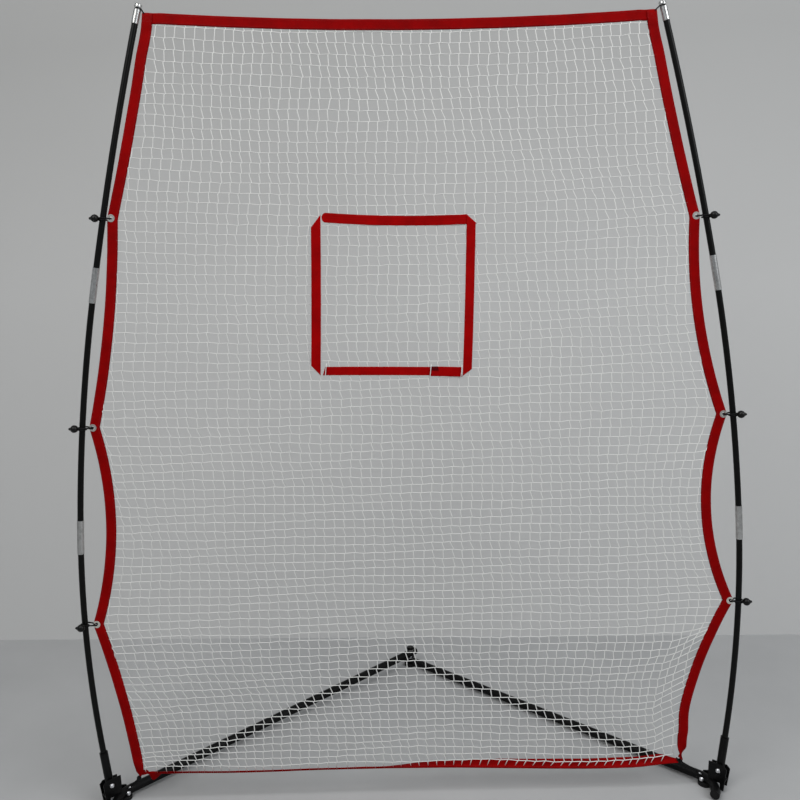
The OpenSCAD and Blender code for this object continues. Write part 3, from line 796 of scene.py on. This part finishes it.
def bottom_border():
    xl, xr = KNOTS[LEFT][4][0] + 0.012, KNOTS[RIGHT][4][0] - 0.010
    xs = np.linspace(xl, xr, 330)
    edge = np.stack([xs, np.full_like(xs, PLANE_Y + 0.0005), bottom_z(xs)], 1)
    t = np.gradient(edge, axis=0)
    t /= np.linalg.norm(t, axis=1)[:, None]
    q = bottom_roll(xs)
    w = np.stack([np.zeros_like(q), np.sin(q), -np.cos(q)], 1)
    w -= t * (w * t).sum(1)[:, None]
    w /= np.linalg.norm(w, axis=1)[:, None]
    b = np.cross(t, w)
    mid = edge + w * (TAPE_W / 2 - 0.004)
    section = folded_section(TAPE_W, GAP)
    taper = 1 - 0.6 * (1 - smoothstep(xs, xl, xl + 0.03)) - 0.55 * smoothstep(xs, xr - 0.05, xr)
    s = np.repeat(section[None], len(xs), 0)
    s[:, :, 0] *= taper[:, None]
    mid = edge + w * (TAPE_W / 2 * taper - 0.004)[:, None]
    soup = Soup()
    soup.sweep(mid, w, b, s)
    o = soup.build("bottom_webbing", MAT["red_webbing"], "red_webbing")
    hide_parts("bottom_border")
    thread = Cords()
    keep = (xs > xl + 0.05) & (xs < xr - 0.06)
    stitches(thread, mid[keep], w[keep], b[keep], (-0.0100, 0.0090), np.full(keep.sum(), GAP + TAPE_T))
    st = thread.build("bottom_stitching", THREAD, "red_webbing")
    follow(o)
    follow(st)


# ---------------------------------------------------------------- the net
def net_rows():
    """Heights of the rows at mid width, from the top down, with the mesh closing up towards the ground."""
    zs, z = [], float(top_z(0.0)) - TAPE_W - 0.006
    low = 0.088
    while z > low:
        zs.append(z)
        u = (z - low) / 2.0
        z -= 0.0204 + 0.0045 * min(1, u / 0.6) + 0.0030 * max(0, (u - 0.6) / 0.4)
    return np.array(zs)


def net_surface(k, j, rows):
    """Where the knot of column k and row j hangs."""
    z0 = rows[j]
    u = (z0 - rows[-1]) / (rows[0] - rows[-1])
    pitch = 0.0261 + 0.0007 * np.sin(u * math.pi) - 0.0019 * smoothstep(u, 0.55, 1.0)
    x = k * pitch + 0.006
    xl, xr = inner_x(LEFT, z0), inner_x(RIGHT, z0)
    # The columns follow the dips of the border, less and less towards the middle
    for side, xe in ((LEFT, xl), (RIGHT, xr)):
        base = np.interp(z0, KNOTS[side][::-1, 1], smooth_side[side][::-1])
        pull = xe - base
        x = x + pull * np.exp(-np.abs(x - xe) / 0.17)
    x = x + 0.0045 * wave(z0 * 1.0 + k * 0.013, 31, 0.45) + 0.0020 * wave(z0 + k * 0.9, 32, 0.12)
    # Low down, both sides are drawn in
    x = x + 0.055 * (1 - smoothstep(z0, 0.235, 0.42)) * np.exp(-np.abs(x - xl) / 0.30)
    x = x - 0.040 * (1 - smoothstep(z0, 0.30, 0.50)) * np.exp(-np.abs(xr - x) / 0.25)
    x = x + 0.0008 * (-1.0) ** j
    z = (
        z0 + (top_z(x) - top_z(0.0)) * smoothstep(u, 0.3, 1.0)
        + (bottom_z(x) - bottom_z(0.0)) * smoothstep(-u, -0.35, 0.0)
    )
    z = z + 0.0025 * wave(x + 0.07 * j, 33, 0.5) + 0.0009 * wave(x + j * 0.61, 34, 0.1) + 0.0007 * (-1.0) ** k
    # Lifted along the right border low down, and sagging towards the bottom left corner
    near_right = np.clip(x - (xr - 0.075), 0, 0.09)
    z = z + 0.42 * near_right * smoothstep(-z0, -0.5, -0.42) * smoothstep(z0, 0.10, 0.16)
    dl = np.hypot(x - KNOTS[LEFT][4][0], (z0 - KNOTS[LEFT][4][1]) * 0.9)
    z = z - 0.042 * np.exp(-dl / 0.15) * smoothstep(z0, 0.1, 0.2)
    # Rippled, but flat behind the strike zone, so that at rest no strand comes through a strap
    out = np.maximum(np.abs(x - ZONE_MID[0]), np.abs(z - ZONE_MID[1])) - ZONE_SIDE / 2
    ripple = 0.0022 * wave(x * 0.8 + z0 * 0.5, 35, 0.6) + 0.0008 * wave(x + z0 * 3, 36, 0.09)
    return x, PLANE_Y + ripple * smoothstep(out, 0.02, 0.07), z


smooth_side = {}
for _side in (LEFT, RIGHT):
    _k = KNOTS[_side]
    _mean = _k[:, 0] - _side * TAPE_W
    _mean[1:4] -= _side * np.array([0.008, 0.022, 0.022])
    smooth_side[_side] = _mean

# The strike zone: its middle from the CAD straps, its side, and its slight clockwise turn
ZONE_TURN = math.radians(1.7)
STRAPS = [
    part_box(n)
    for n in ("target_strap_left", "target_strap_right", "target_strap_top", "target_strap_bottom")
]
ZONE_MID = np.array([[(lo[i] + hi[i]) / 2 for i in (0, 2)] for lo, hi in STRAPS]).mean(0)
ZONE_SIDE = 0.432
STRAP_W = 0.0254


def on_zone(x, z):
    """A point of the upright square, turned with it."""
    dx, dz = x - ZONE_MID[0], z - ZONE_MID[1]
    c, s = math.cos(ZONE_TURN), math.sin(ZONE_TURN)
    return ZONE_MID + (dx * c + dz * s, dz * c - dx * s)


# Cord radii: along the mesh, at an end and just before it, and where a column ends in a side border
STRAND_R, TIP_R, NECK_R, EDGE_R = 0.00100, 0.0004, 0.0007, 0.0005
STRAND_SIDES = 5
# Columns either side of the middle one, how far a row runs into a side border, and the offset in a knot
COLUMNS = 34
TUCK = 0.0042
JOG = np.array([0.0019, 0, 0.0021])
KNOT_R = 1.35 * STRAND_R


def build_net():
    rows = net_rows()
    n_rows = len(rows)
    cols = np.arange(-COLUMNS, COLUMNS + 1)
    x, y, z = (np.zeros((len(cols), n_rows)) for _ in range(3))
    for j in range(n_rows):
        x[:, j], y[:, j], z[:, j] = net_surface(cols.astype(float), j, rows)
    lo, hi = inner_x(LEFT, z), inner_x(RIGHT, z)
    inside = (x > lo + 0.002) & (x < hi - 0.002)
    strands = Cords()
    for j in range(n_rows):
        on = np.where(inside[:, j])[0]
        if len(on) < 2:
            continue
        pts = [np.array((x[i, j], y[i, j], z[i, j])) for i in on]
        slope_l = (pts[1] - pts[0]) / max(1e-4, pts[1][0] - pts[0][0])
        slope_r = (pts[-1] - pts[-2]) / max(1e-4, pts[-1][0] - pts[-2][0])
        lead = [pts[0] + slope_l * (float(inner_x(LEFT, pts[0][2])) + d - pts[0][0]) for d in (-TUCK, 0.001)]
        tail = [
            pts[-1] + slope_r * (float(inner_x(RIGHT, pts[-1][2])) + d - pts[-1][0])
            for d in (-0.001, TUCK)
        ]
        for q in lead + tail:
            q[1] = PLANE_Y
        radii = [TIP_R, NECK_R] + [STRAND_R] * len(pts) + [NECK_R, TIP_R]
        strands.tube(lead + pts + tail, radii, STRAND_SIDES)
    for i in range(len(cols)):
        j = 0
        while j < n_rows:
            if not inside[i, j]:
                j += 1
                continue
            j0 = j
            while j + 1 < n_rows and inside[i, j + 1]:
                j += 1
            j1 = j
            pts = []
            for q in range(j0, j1 + 1):
                c = np.array((x[i, q], y[i, q], z[i, q]))
                pts += [c + JOG, c - JOG]
            radii = [KNOT_R] * len(pts)
            if j0 == 0:
                head = float(top_z(x[i, 0])) - TAPE_W
                pts = [(x[i, 0] - 0.001, PLANE_Y, head + 0.0042), (x[i, 0], PLANE_Y, head - 0.0005)] + pts
                radii = [TIP_R, NECK_R] + radii
            else:
                pts = [edge_end(x, y, z, i, j0, j0 - 1)] + pts
                radii = [EDGE_R] + radii
            if j1 == n_rows - 1:
                px = x[i, j1] - 0.009 * float(smoothstep(x[i, j1], 0.0, 0.25))
                q = float(bottom_roll(px))
                foot_y = PLANE_Y + 0.0005 + 0.002 * math.sin(q)
                pts = pts + [(px, foot_y, float(bottom_z(px)) - 0.002 * math.cos(q))]
                radii = radii + [NECK_R]
            else:
                pts = pts + [edge_end(x, y, z, i, j1, j1 + 1)]
                radii = radii + [EDGE_R]
            if len(pts) > 3:
                strands.tube(pts, radii, STRAND_SIDES)
            j += 1
    lashings(strands)
    o = strands.build("net_strands", MAT["white_cord"], "white_cord")
    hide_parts("net_mesh")
    follow(o)
    width = float(inner_x(RIGHT, 0.55) - inner_x(LEFT, 0.55))
    drop = float(rows[0] - rows[-1])
    cut = float(np.mean([inner_x(RIGHT, q) - inner_x(LEFT, q) for q in rows])) * drop
    # The net's flat area is cut; an open mesh of cord covers far less of it than a cloth does. The smallest
    # area that sheet() takes stands in, so its area test says nothing about this piece.
    return x, y, z, inside


def lashings(strands):
    """Three mesh cords drawn over the front of the lower strap."""
    left, low = ZONE_MID - ZONE_SIDE / 2
    for px in (left + 0.039, left + ZONE_SIDE - 0.116, left + ZONE_SIDE - 0.034):
        deep, near = PLANE_Y - 0.001, PLANE_Y - 0.0067
        pts = []
        for dx, y, z in (
            (0.002, deep, STRAP_W + 0.011), (0.001, near, STRAP_W + 0.005), (-0.001, near, 0.007),
            (-0.002, deep, 0.0)
        ):
            qx, qz = on_zone(px + dx, low + z)
            pts.append((qx, y, qz))
        strands.tube(smooth_path(pts, 0.004), 0.0010, 6)


def edge_end(x, y, z, i, j_in, j_out):
    """Where a column that leaves the mesh sideways runs into the side border, tucked inside its fold."""
    p, q = np.array([x[i, j_in], y[i, j_in], z[i, j_in]]), np.array([x[i, j_out], y[i, j_out], z[i, j_out]])
    side = LEFT if p[0] < 0 else RIGHT
    for f in np.linspace(0, 1, 25):
        r = p + (q - p) * f
        if (r[0] - float(inner_x(side, r[2]))) * side > 0.003:
            break
    r[0] = float(inner_x(side, r[2])) + side * min(0.004, (r[0] - float(inner_x(side, r[2]))) * side)
    r[1] = PLANE_Y
    return tuple(r)


# ---------------------------------------------------------------- strike zone


def strike_zone():
    x0, z0 = ZONE_MID - ZONE_SIDE / 2
    x1, z1 = ZONE_MID + ZONE_SIDE / 2
    y = PLANE_Y - 0.0031
    h = STRAP_W / 2
    t = 0.0014

    def strap(
        name, p, q, bow, lean_start, lean_end, node_name, layer=0.0, width=STRAP_W, wob=1,
        round_start=False, material="target_webbing"
    ):
        u = np.concatenate([np.linspace(0, 0.04, 12)[:-1], np.linspace(0.04, 1, 90)])
        n = len(u)
        p, q = on_zone(*p), on_zone(*q)
        d = (q - p) / np.linalg.norm(q - p)
        perp = np.array([-d[1], d[0]])
        c = p[None] + (q - p)[None] * u[:, None] + perp[None] * (bow * 4 * u * (1 - u))[:, None]
        yy = np.full(n, y - layer) + 0.0007 * wave(u * np.linalg.norm(q - p), 50 + wob, 0.14)
        path = np.stack([c[:, 0], yy, c[:, 1]], 1)
        tt = np.gradient(path, axis=0)
        tt /= np.linalg.norm(tt, axis=1)[:, None]
        a = np.cross(tt, [0, 1.0, 0])
        a /= np.linalg.norm(a, axis=1)[:, None]
        b = np.cross(tt, a)
        s = np.repeat(flat_section(width, t)[None], n, 0)
        length = np.linalg.norm(q - p)
        if round_start:
            back = np.clip(1 - u * length / (width * 0.4), 0, 0.97)
            s[:, :, 0] *= np.sqrt(1 - back**2)[:, None]
        soup = Soup()
        soup.sweep(path, a, b, s)
        v = soup.v[0].reshape(n, -1, 3)
        for lean, sign in ((lean_start, 1), (lean_end, -1)):
            reach = 0.05
            for i in range(n):
                along = u[i] * length if sign == 1 else (1 - u[i]) * length
                if along < reach:
                    v[i] += sign * tt[i][None] * (s[i][:, 0] * lean * (1 - along / reach))[:, None]
        soup.v[0] = v.reshape(-1, 3)
        o = soup.build(name, MAT[material], material)
        if node_name:
            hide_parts(node_name)
        follow(o)
        return o

    strap(
        "strike_zone_left", (x0 + h, z0 + 0.018), (x0 + h, z1 - 0.0225), -0.001, 1.0, 1.3,
        "target_strap_left", 0.0016, wob=1
    )
    strap(
        "strike_zone_right", (x1 - 0.0185, z0 + 0.0160), (x1 - 0.0155, z1 - 0.012), -0.001, -0.8, -0.9,
        "target_strap_right", 0.0016, STRAP_W * 0.94, wob=2
    )
    strap(
        "strike_zone_top", (x0 + 0.028, z1 - h), (x1 - 0.0135, z1 - h), -0.0065, 0.0, 1.0,
        "target_strap_top", 0.0, wob=3, round_start=True
    )
    strap(
        "strike_zone_bottom", (x0 + 0.034, z0 + h + 0.004), (x1 - 0.033, z0 + h + 0.006), 0.0008, 0.3,
        0.0, "target_strap_bottom", 0.0, STRAP_W * 0.9, wob=4
    )
    strap(
        "strike_zone_tail", (x1 - 0.116, z0 + h + 0.006), (x1 - 0.033, z0 + h + 0.005), 0.0, 0.12, 0.15,
        "target_tab", 0.0016, STRAP_W * 1.02, wob=5
    )
    strap(
        "strike_zone_fold", (x1 - 0.113, z0 + STRAP_W + 0.001), (x1 - 0.096, z0 + STRAP_W + 0.0015), 0.0,
        0.3, 0.5, "", 0.0034, 0.0105, wob=6, material="hook_and_loop"
    )


# ---------------------------------------------------------------- elastic fittings
def bungees(side):
    name = NAMES[side]
    cords = Cords()
    balls = spans_by_z(name + "_bungee_balls")
    loops = spans_by_z(name + "_bungee_cords")
    r_pole, c = 0.00795, 0.0022
    for g, (blo, bhi), (llo, lhi) in zip(GROMMETS[side], balls, loops):
        z = g[2]
        px = float(lhi[0] if side == RIGHT else llo[0]) - side * (r_pole + 0.0042)
        r_ball = float(bhi[2] - blo[2]) / 2
        ball = np.array([(blo[0] + r_ball) if side == RIGHT else (bhi[0] - r_ball), (blo[1] + bhi[1]) / 2, z])
        out = side
        fy = PLANE_Y - r_pole - c
        by = PLANE_Y + r_pole + c
        pts = [
            (g[0], PLANE_Y + 0.001, z - 0.0015),
            (g[0] + out * 0.002, PLANE_Y + 0.0062, z - 0.001),
            (g[0] + out * 0.009, by - 0.004, z),
            (px - out * 0.008, by - 0.0005, z + 0.001),
            (px, by + 0.0002, z + 0.001),
            (px + out * 0.0075, by - 0.0022, z + 0.0005),
            (px + out * 0.0112, PLANE_Y, z),
            (px + out * 0.0105, PLANE_Y - 0.006, z - 0.001),
            (ball[0] - out * 0.0065, ball[1] + 0.001, z - 0.001),
        ]
        cords.tube(smooth_path(pts, 0.0022), 0.00195, 10)
        pts = [
            (ball[0] - out * 0.0065, ball[1] - 0.0005, z + 0.0015),
            (px + out * 0.006, fy - 0.0012, z + 0.0012),
            (px, fy - 0.0002, z + 0.0006),
            (px - out * 0.008, fy + 0.0008, z),
            (g[0] + out * 0.009, PLANE_Y - 0.0066, z - 0.0005),
            (g[0] + out * 0.003, PLANE_Y - 0.0058, z - 0.0015),
            (g[0] + out * 0.0004, PLANE_Y - 0.0025, z - 0.002),
            (g[0], PLANE_Y + 0.001, z - 0.0015),
        ]
        cords.tube(smooth_path(pts, 0.0022), 0.00195, 10)
        wrap = [
            (px + 0.0102 * math.cos(q), PLANE_Y + 0.0102 * math.sin(q), z - 0.0045 - 0.0006 * math.sin(q))
            for q in around(24)
        ]
        cords.tube(wrap, 0.0019, 10, closed=True)
    o = cords.build(name + "_bungee_elastic", MAT["black_elastic"], "black_elastic")
    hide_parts(name + "_bungee_cords")
    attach(o, name + "_side")


def top_loop(side):
    name = NAMES[side]
    lo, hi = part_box(name + "_top_loop")
    c = (np.array(lo) + np.array(hi)) / 2
    r = 0.0071
    corner = np.array([KNOTS[side][0][0] - side * 0.006, PLANE_Y, KNOTS[side][0][1] - 0.006])
    cords = Cords()
    ang = np.linspace(math.pi * 0.12, math.pi * 1.88, 18)
    neck = [(c[0] - side * r * math.cos(q), c[1] + r * math.sin(q), c[2] + 0.0006 * math.cos(q)) for q in ang]
    pts = [corner + (0, 0.0032, 0)] + neck + [corner + (0, -0.0032, 0)]
    cords.tube(smooth_path(pts, 0.002), 0.0016, 8)
    o = cords.build(name + "_top_elastic", MAT["black_elastic"], "black_elastic")
    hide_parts(name + "_top_loop")
    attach(o, name + "_side")


def corner_tie(side):
    name = NAMES[side]
    eye = (np.array(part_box(name + "_tie_eye")[0]) + np.array(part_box(name + "_tie_eye")[1])) / 2
    eye[1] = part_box(name + "_tie_eye")[0].y + 0.0070
    eye[2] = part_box(name + "_tie_eye")[1].z - 0.0052
    corner = np.array([KNOTS[side][4][0] - side * 0.013, PLANE_Y, KNOTS[side][4][1] + 0.001])
    cords = Cords()
    d = eye - corner
    for s in (-1, 1):
        off = np.array([0, 0.0022 * s, 0.0012 * s])
        pts = [
            corner + off, corner + d * 0.35 + off * 1.2 + (0, 0, -0.002), corner + d * 0.75 + off,
            eye + (0, 0, 0.001 * s)
        ]
        cords.tube(smooth_path(pts, 0.004), 0.0018, 8)
    for q in (0.0, 0.0034):
        p = corner + d * (0.12 + q * 12)
        t = d / np.linalg.norm(d)
        a = np.cross(t, [0, 0, 1.0])
        a /= np.linalg.norm(a)
        b = np.cross(t, a)
        ring = [
            p + a * 0.0046 * math.cos(w) + b * 0.0046 * math.sin(w)
            for w in around(18)
        ]
        cords.tube(ring, 0.0017, 8, closed=True)
    t = d / np.linalg.norm(d)
    ring = [
        eye + (0.0028 * math.cos(w) * side, 0.0042 * math.sin(w), 0.0042 * math.cos(w) * 0.6)
        for w in around(18)
    ]
    cords.tube(ring, 0.0018, 8, closed=True)
    o = cords.build(name + "_corner_elastic", MAT["black_elastic"], "black_elastic")
    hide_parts(name + "_corner_tie")
    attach(o, name + "_side")


# ---------------------------------------------------------------- make it
make_camera()
make_stage()
dress_cad()
build_net()
for s in (LEFT, RIGHT):
    side_border(s)
    bungees(s)
    top_loop(s)
    corner_tie(s)
top_border()
bottom_border()
strike_zone()
